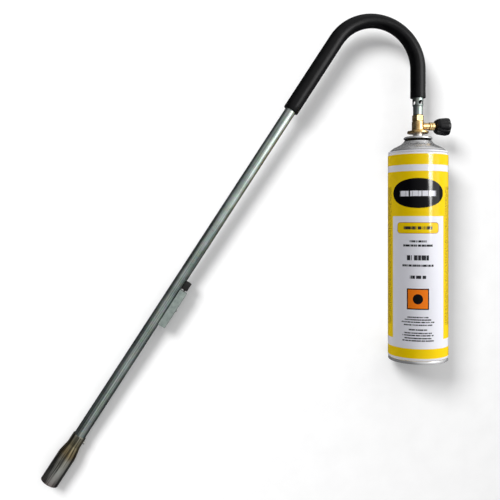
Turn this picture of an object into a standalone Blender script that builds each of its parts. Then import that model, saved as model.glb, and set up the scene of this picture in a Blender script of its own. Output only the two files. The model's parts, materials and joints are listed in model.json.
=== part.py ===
"""Hook-shaped gas torch with a screw-on gas cartridge, lying on its side.

Frame: metres, +Z up, origin at the middle of the bounding box's bottom face.
+Y runs along the cartridge towards its valve, +X towards the control knob.

The whole tool is drawn in one flat plane, the tool plane, with coordinates (u, v, w):
u towards the knob, v along the cartridge from its base rim, w out of the plane.
The plane leans a few degrees about the cartridge, so that the burner's mouth
touches the ground as well as the cartridge does.
"""
import math

import bmesh
import bpy
from mathutils import Matrix, Vector

MM = 0.001
GAP = 0.35 * MM                    # clearance between pieces that touch on the real torch

# Cartridge, measured along v from the base rim
CAN_RADIUS = 33.0 * MM
CAN_WALL = 1.0 * MM
BASE_SEAM_TOP = 3.4 * MM
BODY_TOP = 226.5 * MM
DOME_TOP = 242.4 * MM
NECK_RADIUS = 5.5 * MM             # 7/16 inch thread
NECK_TOP = 253.4 * MM
CURL_RADIUS = 15.75 * MM           # one-inch valve cup

# Valve, on the cartridge's axis, with a side branch for the spindle
FLANGE_RADIUS = 11.75 * MM
FLANGE_BOTTOM = 249.6 * MM
SOCKET_RADIUS = NECK_RADIUS + GAP
SOCKET_TOP = 255.6 * MM
VALVE_RADIUS = 6.7 * MM
VALVE_TOP = 263.0 * MM
PASSAGE_RADIUS = 1.15 * MM
BRANCH_HEIGHT = 258.0 * MM
BRANCH_RADIUS = 4.3 * MM
BRANCH_END = 12.5 * MM             # along u
BRANCH_BORE = 3.05 * MM
SEAT_RADIUS = 1.3 * MM
SPINDLE_RADIUS = 1.9 * MM
GLAND_END = 19.2 * MM
KNOB_START = 20.4 * MM
KNOB_END = 35.8 * MM
KNOB_INNER_RADIUS = 8.3 * MM
KNOB_OUTER_RADIUS = 9.7 * MM
KNOB_LOBES = 6
KNOB_LOBE_DEPTH = 0.05             # share of the radius
NUT_BOTTOM = VALVE_TOP + GAP
NUT_TOP = 269.8 * MM
NUT_CORNER_RADIUS = 6.8 * MM
SPIGOT_RADIUS = 4.0 * MM
SPIGOT_TOP = 279.0 * MM

# Tube: a straight leg above the valve, the hook, then the long lance
TUBE_RADIUS = 6.0 * MM
TUBE_WALL = 1.0 * MM
TUBE_START = NUT_TOP + GAP
SWAGE_RADIUS = 5.4 * MM
SWAGE_END = 280.0 * MM
AIR_HOLE_HEIGHT = 283.6 * MM
AIR_HOLE_RADIUS = 2.7 * MM
AIR_HOLE_ANGLE = math.radians(12.0)
LEG_TOP = 320.7 * MM
HOOK_RADIUS = 51.0 * MM
HOOK_TURN = math.radians(147.0)
LANCE_LENGTH = 543.5 * MM          # from the end of the bend to the burner's mouth
TUBE_SIDES = 16
CAN_SIDES = 40

# Grip over the hook
SLEEVE_RADIUS = 8.1 * MM
SLEEVE_BORE = TUBE_RADIUS + GAP
SLEEVE_START = 289.0 * MM
SLEEVE_ON_LANCE = 93.0 * MM
SLEEVE_FLARE = 1.07

# Burner, measured back from its mouth
BURNER_RADIUS = 9.15 * MM
BARREL_LENGTH = 31.5 * MM
CONE_LENGTH = 11.5 * MM
NECK_LENGTH = 11.0 * MM
BURNER_LENGTH = BARREL_LENGTH + CONE_LENGTH + NECK_LENGTH
BURNER_NECK_RADIUS = 6.9 * MM
BURNER_NECK_BORE = TUBE_RADIUS + GAP
BARREL_WALL = 0.7 * MM
TUBE_IN_BURNER = 12.0 * MM
SCREW_FROM_NECK = 5.0 * MM

# Igniter, measured along the lance from the end of the bend
BRACKET_START = 314.5 * MM
BRACKET_LENGTH = 41.5 * MM
BRACKET_FOOT = 4.65 * MM           # edge of the channel's flanges, from the lance's axis
BRACKET_BACK = 13.0 * MM
BRACKET_HALF_WIDTH = 5.0 * MM
BRACKET_SHEET = 0.8 * MM
IGNITER_START = 322.0 * MM
IGNITER_LENGTH = 30.0 * MM
IGNITER_HALF_WIDTH = 3.8 * MM
IGNITER_AXIS = 9.2 * MM            # the plunger's distance from the lance's axis
PLUNGER_BORE = 1.8 * MM
BUTTON_START = 303.6 * MM
BUTTON_LENGTH = 9.2 * MM
BUTTON_STEM_RADIUS = 0.8 * MM
LEAD_RADIUS = 0.7 * MM
LEAD_HOLE = 354.2 * MM             # where the spark lead enters the tube

ELECTRODE_RADIUS = 0.6 * MM
INSULATOR_RADIUS = 1.85 * MM

MOUTH_U = HOOK_RADIUS * (math.cos(HOOK_TURN) - 1.0) - LANCE_LENGTH * math.sin(HOOK_TURN)
MOUTH_V = LEG_TOP + HOOK_RADIUS * math.sin(HOOK_TURN) + LANCE_LENGTH * math.cos(HOOK_TURN)
TILT = math.asin((CAN_RADIUS - BURNER_RADIUS) / abs(MOUTH_U))

STEEL = ("galvanised_steel", (0.47, 0.50, 0.49), 0.38, 1.0)
TINPLATE = ("tinplate", (0.62, 0.62, 0.62), 0.25, 1.0)
LITHO = ("litho_paint", (0.93, 0.78, 0.03), 0.25, 0.0)
BRASS = ("brass", (0.83, 0.62, 0.30), 0.28, 1.0)
BLACK_PLASTIC = ("black_plastic", (0.02, 0.02, 0.022), 0.40, 0.0)
RUBBER = ("black_rubber", (0.015, 0.016, 0.017), 0.50, 0.0)
SEAL_RUBBER = ("seal_rubber", (0.04, 0.04, 0.04), 0.70, 0.0)
BURNT_STEEL = ("heat_tinted_steel", (0.36, 0.32, 0.28), 0.42, 1.0)
ZINC = ("zinc_sheet", (0.55, 0.60, 0.58), 0.40, 1.0)
SPRING_STEEL = ("spring_steel", (0.50, 0.50, 0.52), 0.30, 1.0)
CERAMIC = ("ceramic", (0.88, 0.86, 0.82), 0.35, 0.0)
WHITE_PLASTIC = ("white_plastic", (0.85, 0.85, 0.83), 0.45, 0.0)
LEAD_SHEATH = ("lead_sheath", (0.10, 0.02, 0.02), 0.55, 0.0)


def new_collection(name):
    collection = bpy.data.collections.new(name)
    bpy.context.scene.collection.children.link(collection)
    return collection


def axis_empty(name, parent, origin, z_axis, x_axis):
    """An empty under parent, with its Z and X axes along the two given directions."""
    empty = bpy.data.objects.new(name, None)
    empty.empty_display_size = 20.0 * MM
    z_axis = Vector(z_axis).normalized()
    x_axis = Vector(x_axis).normalized()
    columns = Matrix((x_axis, z_axis.cross(x_axis), z_axis)).transposed()
    empty.location = origin
    empty.rotation_euler = columns.to_euler()
    empty.parent = parent
    TORCH.objects.link(empty)
    return empty


def material(look):
    name, colour, roughness, metallic = look
    found = bpy.data.materials.get(name)
    if found:
        return found
    made = bpy.data.materials.new(name)
    made.use_nodes = True
    shader = made.node_tree.nodes["Principled BSDF"]
    shader.inputs["Base Color"].default_value = (*colour, 1.0)
    shader.inputs["Roughness"].default_value = roughness
    shader.inputs["Metallic"].default_value = metallic
    return made


def add(name, data, parent, look=None, location=(0.0, 0.0, 0.0)):
    """Links a new object under parent. Without a look it is a cutter, hidden from renders."""
    obj = bpy.data.objects.new(name, data)
    obj.parent = parent
    obj.location = location
    if look:
        data.materials.append(material(look))
        TORCH.objects.link(obj)
    else:
        obj.hide_render = True
        obj.display_type = "WIRE"
        CUTTERS.objects.link(obj)
    return obj


def smooth(mesh, angle=30.0):
    mesh.shade_smooth()
    mesh.set_sharp_from_angle(angle=math.radians(angle))


def turned(name, outline, parent, look=None, sides=24):
    """Turns an outline of (radius, height) about the parent's Z axis.

    The outline runs outwards over the top, down the outer side and back inwards.
    It starts and ends on the axis for a solid piece, and closes on itself for a ring.
    """
    mesh = bpy.data.meshes.new(name)
    form = bmesh.new()
    points = [form.verts.new((radius, 0.0, height)) for radius, height in outline]
    for first, second in zip(points, points[1:]):
        form.edges.new((first, second))
    if outline[0][0] > 0.0:
        form.edges.new((points[-1], points[0]))
    form.to_mesh(mesh)
    form.free()
    obj = add(name, mesh, parent, look)
    screw = obj.modifiers.new("turn", "SCREW")
    screw.axis = "Z"
    screw.angle = 2.0 * math.pi
    screw.steps = sides
    screw.render_steps = sides
    screw.use_merge_vertices = True
    screw.merge_threshold = 0.00001
    screw.use_smooth_shade = True
    return obj


def cylinder(name, radius, bottom, top, parent, look=None, sides=24, centre=(0.0, 0.0)):
    mesh = bpy.data.meshes.new(name)
    form = bmesh.new()
    bmesh.ops.create_cone(form, cap_ends=True, segments=sides, radius1=radius, radius2=radius,
                          depth=top - bottom)
    form.to_mesh(mesh)
    form.free()
    smooth(mesh)
    return add(name, mesh, parent, look, (*centre, (top + bottom) / 2.0))


def box(name, low, high, parent, look=None):
    mesh = bpy.data.meshes.new(name)
    form = bmesh.new()
    size = [top - bottom for bottom, top in zip(low, high)]
    middle = [(top + bottom) / 2.0 for bottom, top in zip(low, high)]
    bmesh.ops.create_cube(form, size=1.0)
    bmesh.ops.scale(form, vec=size, verts=form.verts)
    form.to_mesh(mesh)
    form.free()
    return add(name, mesh, parent, look, middle)


def combine(obj, tool, operation="DIFFERENCE"):
    boolean = obj.modifiers.new(tool.name, "BOOLEAN")
    boolean.operation = operation
    boolean.solver = "EXACT"
    boolean.object = tool


def bevel(obj, width, segments=2):
    rounding = obj.modifiers.new("rounding", "BEVEL")
    rounding.width = width
    rounding.segments = segments
    rounding.limit_method = "ANGLE"


def rod(name, points, radius, parent, look=None, sides=8, widths=None):
    """A round bar along points, as a closed mesh. widths scales its radius at each point."""
    curve = bpy.data.curves.new(name, "CURVE")
    curve.dimensions = "3D"
    curve.bevel_depth = radius
    curve.bevel_resolution = sides // 2 - 2
    curve.use_fill_caps = True
    spline = curve.splines.new("POLY")
    spline.points.add(len(points) - 1)
    for index, point in enumerate(points):
        spline.points[index].co = (*point, 1.0)
        if widths:
            spline.points[index].radius = widths[index]
    drawn = bpy.data.objects.new(name + "_path", curve)
    TORCH.objects.link(drawn)
    ready = drawn.evaluated_get(bpy.context.evaluated_depsgraph_get())
    mesh = bpy.data.meshes.new_from_object(ready)
    bpy.data.objects.remove(drawn)
    form = bmesh.new()
    form.from_mesh(mesh)
    bmesh.ops.remove_doubles(form, verts=form.verts, dist=0.00001)
    form.to_mesh(mesh)
    form.free()
    smooth(mesh, 40.0)
    mesh.name = name
    mesh.materials.clear()
    return add(name, mesh, parent, look)


def helix(radius, bottom, top, turns, centre=(0.0, 0.0), steps=8):
    count = turns * steps
    path = []
    for index in range(count + 1):
        angle = 2.0 * math.pi * index / steps
        height = bottom + (top - bottom) * index / count
        path.append((centre[0] + radius * math.cos(angle), centre[1] + radius * math.sin(angle), height))
    return path


def tube_path(start, on_lance, steps=13):
    """Centre line in the tool plane, from v = start round the hook to on_lance down the lance."""
    path = [(0.0, start, 0.0)]
    for index in range(steps + 1):
        angle = HOOK_TURN * index / steps
        path.append((HOOK_RADIUS * (math.cos(angle) - 1.0), LEG_TOP + HOOK_RADIUS * math.sin(angle), 0.0))
    end = path[-1]
    path.append((end[0] - on_lance * math.sin(HOOK_TURN), end[1] + on_lance * math.cos(HOOK_TURN), 0.0))
    return path


def cartridge(axis):
    turned("can_body", [
        (CAN_RADIUS - 0.9 * MM, BODY_TOP), (CAN_RADIUS - 0.4 * MM, BODY_TOP),
        (CAN_RADIUS, BODY_TOP - 2.0 * MM), (CAN_RADIUS, BASE_SEAM_TOP + 2.2 * MM),
        (CAN_RADIUS - 0.4 * MM, BASE_SEAM_TOP + GAP), (CAN_RADIUS - CAN_WALL - 0.4 * MM, BASE_SEAM_TOP + GAP),
        (CAN_RADIUS - CAN_WALL, BASE_SEAM_TOP + 2.2 * MM), (CAN_RADIUS - CAN_WALL, BODY_TOP - 2.0 * MM),
        (CAN_RADIUS - CAN_WALL - 0.4 * MM, BODY_TOP),
    ], axis, LITHO, CAN_SIDES)
    seam = BODY_TOP + GAP
    turned("can_dome", [
        (13.0 * MM, DOME_TOP), (14.6 * MM, 241.6 * MM), (17.3 * MM, 238.7 * MM), (21.5 * MM, 235.9 * MM),
        (27.6 * MM, 232.6 * MM), (30.4 * MM, 230.2 * MM), (31.3 * MM, 229.0 * MM), (32.5 * MM, 228.9 * MM),
        (32.6 * MM, seam), (29.8 * MM, seam), (29.6 * MM, 229.6 * MM), (27.0 * MM, 231.6 * MM),
        (21.0 * MM, 234.8 * MM), (16.6 * MM, 237.6 * MM), (13.8 * MM, 240.6 * MM), (12.85 * MM, 241.4 * MM),
    ], axis, TINPLATE, CAN_SIDES)
    turned("can_base", [
        (0.0, 13.0 * MM), (10.0 * MM, 12.2 * MM), (20.0 * MM, 9.4 * MM), (27.0 * MM, 5.8 * MM),
        (29.4 * MM, BASE_SEAM_TOP), (32.5 * MM, BASE_SEAM_TOP), (32.6 * MM, 0.5 * MM), (32.2 * MM, 0.0),
        (30.4 * MM, 0.0), (29.6 * MM, 0.9 * MM), (26.4 * MM, 4.6 * MM), (19.6 * MM, 8.2 * MM),
        (9.9 * MM, 11.0 * MM), (0.0, 11.8 * MM),
    ], axis, TINPLATE, CAN_SIDES)
    turned("valve_cup", [
        (2.4 * MM, NECK_TOP), (5.1 * MM, NECK_TOP), (NECK_RADIUS, NECK_TOP - 0.5 * MM), (NECK_RADIUS, 238.2 * MM),
        (6.6 * MM, 237.2 * MM), (10.6 * MM, 237.2 * MM), (11.7 * MM, 238.4 * MM), (11.8 * MM, 243.8 * MM),
        (12.6 * MM, 245.3 * MM), (14.2 * MM, 245.7 * MM), (15.5 * MM, 245.0 * MM), (CURL_RADIUS, 244.0 * MM),
        (15.4 * MM, 243.1 * MM), (13.1 * MM, 242.8 * MM), (12.45 * MM, 242.0 * MM), (12.45 * MM, 237.6 * MM),
        (11.2 * MM, 236.4 * MM), (5.8 * MM, 236.4 * MM), (4.7 * MM, 237.6 * MM), (4.7 * MM, NECK_TOP - 0.8 * MM),
        (2.4 * MM, NECK_TOP - 0.8 * MM),
    ], axis, TINPLATE, 24)
    turned("cartridge_valve_housing", [
        (3.2 * MM, 249.0 * MM), (4.3 * MM, 249.0 * MM), (4.3 * MM, 234.0 * MM), (0.8 * MM, 234.0 * MM),
        (0.8 * MM, 236.5 * MM), (3.2 * MM, 236.5 * MM),
    ], axis, WHITE_PLASTIC, 20)
    turned("cartridge_valve_stem", [
        (0.0, 251.8 * MM), (1.5 * MM, 251.8 * MM), (1.5 * MM, 248.2 * MM), (2.8 * MM, 248.2 * MM),
        (2.8 * MM, 246.6 * MM), (1.2 * MM, 246.2 * MM), (1.2 * MM, 242.0 * MM), (0.0, 242.0 * MM),
    ], axis, WHITE_PLASTIC, 16)
    turned("cartridge_seal", [
        (1.9 * MM, 251.2 * MM), (4.3 * MM, 251.2 * MM), (4.3 * MM, 249.4 * MM), (1.9 * MM, 249.4 * MM),
    ], axis, SEAL_RUBBER, 20)
    coil = helix(2.3 * MM, 237.3 * MM, 245.8 * MM, 4)
    rod("cartridge_valve_spring", coil, 0.28 * MM, axis, SPRING_STEEL, 6)
    turned("cartridge_gasket", [
        (2.9 * MM, SOCKET_TOP - GAP), (5.2 * MM, SOCKET_TOP - GAP), (5.2 * MM, NECK_TOP + GAP),
        (2.9 * MM, NECK_TOP + GAP),
    ], axis, SEAL_RUBBER, 24)


def valve(axis, branch_axis):
    body = turned("valve_body", [
        (0.0, VALVE_TOP), (6.2 * MM, VALVE_TOP), (VALVE_RADIUS, VALVE_TOP - 0.5 * MM),
        (VALVE_RADIUS, 254.2 * MM), (7.6 * MM, 252.9 * MM), (11.0 * MM, 252.4 * MM),
        (FLANGE_RADIUS, 251.7 * MM), (FLANGE_RADIUS, 250.2 * MM), (11.2 * MM, FLANGE_BOTTOM), (0.0, FLANGE_BOTTOM),
    ], axis, BRASS, 32)
    branch = turned("branch_form", [
        (0.0, BRANCH_END), (3.9 * MM, BRANCH_END), (BRANCH_RADIUS, BRANCH_END - 0.4 * MM), (BRANCH_RADIUS, 2.0 * MM),
        (0.0, 2.0 * MM),
    ], branch_axis)
    combine(body, branch, "UNION")
    combine(body, cylinder("socket_cutter", SOCKET_RADIUS, FLANGE_BOTTOM - 2.0 * MM, SOCKET_TOP, axis))
    combine(body, cylinder("passage_cutter", PASSAGE_RADIUS, SOCKET_TOP - MM, VALVE_TOP + MM, axis, sides=12))
    combine(body, cylinder("branch_cutter", BRANCH_BORE, 6.4 * MM, BRANCH_END + MM, branch_axis))
    combine(body, cylinder("seat_cutter", SEAT_RADIUS, 0.4 * MM, 7.0 * MM, branch_axis, sides=12))

    cylinder("inlet_pin", 0.8 * MM, 252.5 * MM, 257.6 * MM, axis, BRASS, 12)
    turned("gland_nut", [
        (SPINDLE_RADIUS + GAP, GLAND_END), (4.2 * MM, GLAND_END), (4.7 * MM, GLAND_END - 0.5 * MM),
        (4.7 * MM, 13.4 * MM), (4.2 * MM, 12.9 * MM), (SPINDLE_RADIUS + GAP, 12.9 * MM),
    ], branch_axis, BRASS)
    section = [math.radians(-60.0 * step) for step in range(6)]
    turned("spindle_packing", [
        (2.57 * MM + 0.33 * MM * math.cos(turn), 11.6 * MM + 0.33 * MM * math.sin(turn)) for turn in section
    ], branch_axis, SEAL_RUBBER, 16)
    turned("needle_spindle", [
        (0.0, 27.5 * MM), (1.2 * MM, 27.5 * MM), (1.2 * MM, 32.5 * MM), (SPINDLE_RADIUS, 32.5 * MM),
        (SPINDLE_RADIUS, 9.3 * MM), (2.7 * MM, 9.1 * MM), (2.7 * MM, 7.4 * MM), (0.9 * MM, 6.9 * MM),
        (0.9 * MM, 3.6 * MM), (0.0, 1.9 * MM),
    ], branch_axis, BRASS, 20)

    nut = cylinder("jet_nut", NUT_CORNER_RADIUS, NUT_BOTTOM, NUT_TOP, axis, BRASS, sides=6)
    middle = (NUT_BOTTOM + NUT_TOP) / 2.0
    reach = (NUT_TOP - NUT_BOTTOM) / 2.0
    chamfer = turned("nut_chamfer_form", [
        (0.0, middle + reach + 0.2 * MM), (5.7 * MM, middle + reach + 0.2 * MM), (7.4 * MM, middle + reach - MM),
        (7.4 * MM, middle - reach + MM), (5.7 * MM, middle - reach - 0.2 * MM), (0.0, middle - reach - 0.2 * MM),
    ], axis)
    combine(nut, chamfer, "INTERSECT")
    combine(nut, cylinder("spigot_form", SPIGOT_RADIUS, NUT_TOP - MM, SPIGOT_TOP, axis), "UNION")
    combine(nut, cylinder("nut_passage_cutter", PASSAGE_RADIUS, NUT_BOTTOM - MM, 275.0 * MM, axis, sides=12))
    combine(nut, cylinder("jet_cutter", 2.9 * MM, 274.0 * MM, SPIGOT_TOP + MM, axis))
    turned("gas_jet", [
        (0.4 * MM, 280.4 * MM), (1.4 * MM, 280.4 * MM), (2.5 * MM, 279.2 * MM), (2.5 * MM, 274.4 * MM),
        (0.4 * MM, 274.4 * MM),
    ], axis, BRASS, 16)


def knob(branch_axis):
    length = KNOB_END - KNOB_START
    mesh = bpy.data.meshes.new("control_knob")
    form = bmesh.new()
    bmesh.ops.create_cone(form, cap_ends=True, segments=8 * KNOB_LOBES, radius1=KNOB_INNER_RADIUS,
                          radius2=KNOB_OUTER_RADIUS, depth=length)
    for corner in form.verts:
        angle = math.atan2(corner.co.y, corner.co.x)
        swell = 1.0 + KNOB_LOBE_DEPTH * math.cos(KNOB_LOBES * angle)
        corner.co.x *= swell
        corner.co.y *= swell
    form.to_mesh(mesh)
    form.free()
    smooth(mesh, 40.0)
    body = add("control_knob", mesh, branch_axis, BLACK_PLASTIC, (0.0, 0.0, KNOB_START + length / 2.0))
    bevel(body, 1.1 * MM)
    bore = SPINDLE_RADIUS + GAP
    combine(body, cylinder("knob_bore_cutter", bore, KNOB_START - MM, 33.5 * MM, branch_axis, sides=20))
    combine(body, cylinder("knob_recess_cutter", 3.5 * MM, 33.1 * MM, KNOB_END + MM, branch_axis))
    turned("knob_screw", [
        (0.0, 35.4 * MM), (2.2 * MM, 35.4 * MM), (3.0 * MM, 34.7 * MM), (3.0 * MM, 33.45 * MM),
        (0.85 * MM, 33.45 * MM), (0.85 * MM, 28.1 * MM), (0.0, 28.1 * MM),
    ], branch_axis, SPRING_STEEL, 16)


def lance_and_grip(tool, axis, lance_axis):
    on_lance = LANCE_LENGTH - BURNER_LENGTH + TUBE_IN_BURNER
    route = tube_path(SWAGE_END + 2.0 * MM, on_lance)
    outer = [(0.0, TUBE_START, 0.0), (0.0, SWAGE_END, 0.0)] + route
    inner = [(0.0, TUBE_START - MM, 0.0), (0.0, SWAGE_END, 0.0)] + tube_path(SWAGE_END + 2.0 * MM, on_lance + MM)
    swage = [SWAGE_RADIUS / TUBE_RADIUS] * 2 + [1.0] * len(route)
    bore = TUBE_RADIUS - TUBE_WALL
    narrow = [(SWAGE_RADIUS - TUBE_WALL) / bore] * 2 + [1.0] * len(route)
    tube = rod("lance_tube", outer, TUBE_RADIUS, tool, STEEL, TUBE_SIDES, swage)
    combine(tube, rod("tube_bore_cutter", inner, bore, tool, None, TUBE_SIDES, narrow))
    for index in range(2):
        turn = AIR_HOLE_ANGLE + index * math.pi / 2.0
        across = axis_empty(f"air_hole_axis_{index}", axis, (0.0, 0.0, AIR_HOLE_HEIGHT),
                            (math.sin(turn), -math.cos(turn), 0.0), (0.0, 0.0, 1.0))
        combine(tube, cylinder(f"air_hole_cutter_{index}", AIR_HOLE_RADIUS, -9.0 * MM, 9.0 * MM, across, sides=14))
    side = axis_empty("lead_hole_axis", lance_axis, (0.0, 0.0, LEAD_HOLE), (1.0, 0.0, 0.0), (0.0, 1.0, 0.0))
    combine(tube, cylinder("lead_hole_cutter", LEAD_RADIUS + 2.0 * GAP, 2.0 * MM, 9.0 * MM, side, sides=12))
    screw_at = LANCE_LENGTH - BURNER_LENGTH + SCREW_FROM_NECK
    side = axis_empty("burner_screw_axis", lance_axis, (0.0, 0.0, screw_at), (1.0, 0.0, 0.0), (0.0, 1.0, 0.0))
    combine(tube, cylinder("screw_hole_cutter", 1.3 * MM, 3.0 * MM, 9.0 * MM, side, sides=12))

    route = tube_path(SLEEVE_START + 6.0 * MM, SLEEVE_ON_LANCE)
    flare = [SLEEVE_FLARE] + [1.0] * len(route)
    sleeve = rod("grip_sleeve", [(0.0, SLEEVE_START, 0.0)] + route, SLEEVE_RADIUS, tool, RUBBER, TUBE_SIDES, flare)
    hollow = tube_path(SLEEVE_START - MM, SLEEVE_ON_LANCE + MM)
    combine(sleeve, rod("sleeve_bore_cutter", hollow, SLEEVE_BORE, tool, None, TUBE_SIDES))
    return side


def burner(lance_axis, screw_axis):
    mouth = LANCE_LENGTH
    barrel = mouth - BARREL_LENGTH
    cone = barrel - CONE_LENGTH
    neck = cone - NECK_LENGTH
    inside = BURNER_RADIUS - BARREL_WALL
    cup = turned("burner_cup", [
        (inside, mouth), (BURNER_RADIUS, mouth), (BURNER_RADIUS, barrel), (8.7 * MM, barrel - 2.4 * MM),
        (7.2 * MM, cone + 1.6 * MM), (BURNER_NECK_RADIUS, cone), (BURNER_NECK_RADIUS, neck + 0.4 * MM),
        (BURNER_NECK_RADIUS - 0.2 * MM, neck), (BURNER_NECK_BORE, neck), (BURNER_NECK_BORE, cone),
        (6.6 * MM, cone + 1.8 * MM), (8.0 * MM, barrel - 2.2 * MM), (inside, barrel),
    ], lance_axis, BURNT_STEEL, 28)
    combine(cup, cylinder("cup_hole_cutter", 1.3 * MM, 3.0 * MM, 9.0 * MM, screw_axis, sides=12))
    turned("burner_screw", [
        (0.0, 8.6 * MM), (1.0 * MM, 8.5 * MM), (1.6 * MM, 7.9 * MM), (1.6 * MM, BURNER_NECK_RADIUS + GAP),
        (0.95 * MM, BURNER_NECK_RADIUS + GAP), (0.95 * MM, 5.3 * MM), (0.0, 5.3 * MM),
    ], screw_axis, ZINC, 16)

    holder_at = barrel + 8.0 * MM
    holder = turned("flame_holder", [
        (INSULATOR_RADIUS + GAP, holder_at + 1.5 * MM), (8.0 * MM, holder_at + 1.5 * MM), (8.0 * MM, holder_at),
        (INSULATOR_RADIUS + GAP, holder_at),
    ], lance_axis, BURNT_STEEL, 20)
    for index in range(8):
        turn = math.pi * (index + 0.3) / 4.0
        centre = (5.0 * MM * math.cos(turn), 5.0 * MM * math.sin(turn))
        combine(holder, cylinder(f"flame_hole_cutter_{index}", 1.1 * MM, holder_at - MM, holder_at + 3.0 * MM,
                                 lance_axis, sides=8, centre=centre))
    turned("electrode_insulator", [
        (ELECTRODE_RADIUS + GAP, mouth - 10.0 * MM), (INSULATOR_RADIUS, mouth - 10.0 * MM),
        (INSULATOR_RADIUS, mouth - 35.0 * MM), (ELECTRODE_RADIUS + GAP, mouth - 35.0 * MM),
    ], lance_axis, CERAMIC, 16)
    tip = [(0.0, 0.0, mouth - 38.0 * MM), (0.0, 0.0, mouth - 8.0 * MM), (0.5 * MM, 0.0, mouth - 6.8 * MM),
           (1.6 * MM, 0.0, mouth - 5.8 * MM), (5.0 * MM, 0.0, mouth - 4.0 * MM)]
    rod("spark_electrode", tip, ELECTRODE_RADIUS, lance_axis, SPRING_STEEL)


def igniter(lance_axis):
    end = BRACKET_START + BRACKET_LENGTH
    channel = box("igniter_bracket", (BRACKET_FOOT, -BRACKET_HALF_WIDTH, BRACKET_START),
                  (BRACKET_BACK, BRACKET_HALF_WIDTH, end), lance_axis, ZINC)
    form = bmesh.new()
    form.from_mesh(channel.data)
    open_sides = [face for face in form.faces if abs(face.normal.z) > 0.9 or face.normal.x < -0.9]
    bmesh.ops.delete(form, geom=open_sides, context="FACES")
    form.to_mesh(channel.data)
    form.free()
    bevel(channel, 1.4 * MM, 3)
    sheet = channel.modifiers.new("sheet", "SOLIDIFY")
    sheet.thickness = BRACKET_SHEET
    sheet.offset = -1.0
    middle = (BRACKET_START + end) / 2.0
    rivet_axis = axis_empty("rivet_axis", lance_axis, (0.0, 0.0, middle), (1.0, 0.0, 0.0), (0.0, 1.0, 0.0))
    combine(channel, cylinder("rivet_hole_cutter", 1.1 * MM, 11.0 * MM, 15.0 * MM, rivet_axis, sides=12))
    turned("bracket_rivet", [
        (0.0, 14.3 * MM), (0.8 * MM, 14.2 * MM), (1.5 * MM, 13.7 * MM), (1.5 * MM, BRACKET_BACK + GAP),
        (0.75 * MM, BRACKET_BACK + GAP), (0.75 * MM, 11.1 * MM), (0.0, 11.1 * MM),
    ], rivet_axis, ZINC, 16)

    inner_back = BRACKET_BACK - BRACKET_SHEET - GAP
    body = box("igniter_body", (TUBE_RADIUS + 0.6 * MM, -IGNITER_HALF_WIDTH, IGNITER_START),
               (inner_back, IGNITER_HALF_WIDTH, IGNITER_START + IGNITER_LENGTH), lance_axis, BLACK_PLASTIC)
    bevel(body, 0.5 * MM)
    plunger = (IGNITER_AXIS, 0.0)
    bore_end = IGNITER_START + 10.4 * MM
    combine(body, cylinder("plunger_bore_cutter", PLUNGER_BORE, IGNITER_START - MM, bore_end, lance_axis,
                           sides=16, centre=plunger))
    combine(body, cylinder("rivet_seat_cutter", 1.1 * MM, 10.7 * MM, 15.0 * MM, rivet_axis, sides=12))
    coil = helix(1.35 * MM, IGNITER_START + 1.2 * MM, bore_end - 0.7 * MM, 4, plunger)
    rod("igniter_spring", coil, 0.22 * MM, lance_axis, SPRING_STEEL, 6)

    button_end = BUTTON_START + BUTTON_LENGTH
    button = box("igniter_button", (BRACKET_FOOT + 0.3 * MM, -IGNITER_HALF_WIDTH, BUTTON_START),
                 (inner_back, IGNITER_HALF_WIDTH, button_end), lance_axis, BLACK_PLASTIC)
    bevel(button, 0.7 * MM)
    combine(button, cylinder("saddle_cutter", TUBE_RADIUS + GAP, BUTTON_START - 5.0 * MM, button_end + 5.0 * MM,
                             lance_axis, sides=TUBE_SIDES))
    stem = cylinder("stem_form", BUTTON_STEM_RADIUS, button_end - MM, IGNITER_START + 3.0 * MM, lance_axis,
                    sides=12, centre=plunger)
    combine(button, stem, "UNION")

    lead_start = IGNITER_START + IGNITER_LENGTH + GAP
    lead_end = LANCE_LENGTH - 38.0 * MM - GAP
    inside = 2.2 * MM
    route = [(9.6 * MM, 0.0, lead_start), (9.4 * MM, 0.0, lead_start + 0.9 * MM)]
    route += [(8.4 * MM, 0.0, LEAD_HOLE - 0.1 * MM), (5.2 * MM, 0.0, LEAD_HOLE + 0.1 * MM)]
    route += [(3.4 * MM, 0.0, LEAD_HOLE + 1.2 * MM), (inside, 0.0, LEAD_HOLE + 4.0 * MM)]
    route += [(inside, 0.0, LEAD_HOLE + 30.0 * MM * step) for step in range(1, 5)]
    route += [(1.6 * MM, 0.0, lead_end - 12.0 * MM), (0.0, 0.0, lead_end - 4.0 * MM), (0.0, 0.0, lead_end)]
    rod("ignition_lead", route, LEAD_RADIUS, lance_axis, LEAD_SHEATH)


def tool_frame():
    """The tool plane's empty, placed so that the origin is the bounding box's bottom centre."""
    mouth_side = BURNER_RADIUS * math.hypot(math.cos(HOOK_TURN) * math.cos(TILT), math.sin(TILT))
    left = MOUTH_U * math.cos(TILT) - mouth_side
    knob_swell = KNOB_OUTER_RADIUS * (1.0 + KNOB_LOBE_DEPTH)
    right = KNOB_END * math.cos(TILT) + (knob_swell - 1.1 * MM) * math.sin(TILT)
    front = MOUTH_V - BURNER_RADIUS * math.sin(HOOK_TURN)
    back = LEG_TOP + HOOK_RADIUS + SLEEVE_RADIUS
    tool = bpy.data.objects.new("tool_plane", None)
    tool.location = (-(left + right) / 2.0, -(front + back) / 2.0, CAN_RADIUS)
    tool.rotation_euler = (0.0, -TILT, 0.0)
    TORCH.objects.link(tool)
    return tool


for old in list(bpy.data.objects):
    bpy.data.objects.remove(old)
TORCH = new_collection("gas_torch")
CUTTERS = new_collection("cutters")

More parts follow.
